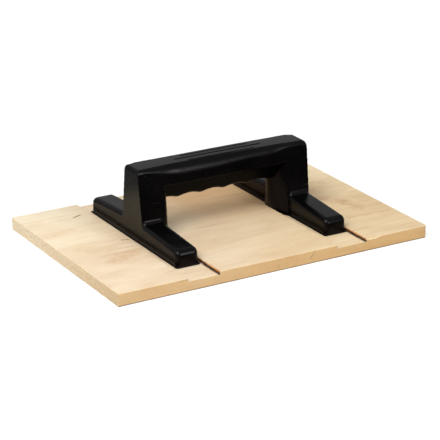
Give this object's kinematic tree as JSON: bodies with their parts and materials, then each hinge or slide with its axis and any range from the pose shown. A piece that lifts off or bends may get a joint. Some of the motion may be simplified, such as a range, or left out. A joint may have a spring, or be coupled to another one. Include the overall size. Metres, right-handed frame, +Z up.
{
  "type": "wooden hand float",
  "caption": "Rectangular wooden board with a black moulded bridge handle set in two shallow trenches, for smoothing mortar, plaster and concrete by hand.",
  "frame": {"origin": "centre of the board's underside, which is the working face", "axes": "+X along the board's long side and the grip, +Y towards the back edge, +Z up from the working face to the grip"},
  "size_m": [0.3, 0.198, 0.073],
  "materials": {
    "board_wood": "planed and sanded, unfinished pale softwood or lime",
    "handle_plastic": "black injection-moulded plastic, semi-gloss, lightly scuffed",
    "screw_steel": "plain zinc-plated steel"
  },
  "bodies": {
    "root": {"board": "board_wood", "handle": "handle_plastic", "screw_left_front": "screw_steel", "screw_left_back": "screw_steel", "screw_right_front": "screw_steel", "screw_right_back": "screw_steel"}
  },
  "joints": []
}
